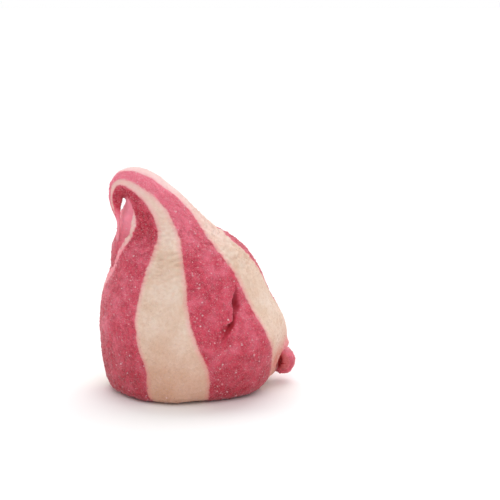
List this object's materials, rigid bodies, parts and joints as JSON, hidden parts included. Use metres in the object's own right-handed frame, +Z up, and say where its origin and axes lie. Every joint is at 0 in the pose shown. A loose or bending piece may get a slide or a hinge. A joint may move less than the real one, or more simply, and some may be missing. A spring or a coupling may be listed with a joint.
{
  "type": "marshmallow kiss",
  "caption": "Sugared kiss of pink and cream striped marshmallow foam on a flat sole, its tip curled over to one side and drawn out into a thin thread.",
  "frame": {"origin": "middle of the flat sole that the kiss stands on", "axes": "+Z up through the body, +X to the right of the front, away from the side the tip curls over, and -Y out of the front"},
  "size_m": [0.0445, 0.0415, 0.0503],
  "materials": {
    "sugared_foam": "soft whipped foam in pink and cream stripes, coated all over in fine sugar"
  },
  "bodies": {
    "root": {"marshmallow": "sugared_foam"}
  },
  "joints": []
}
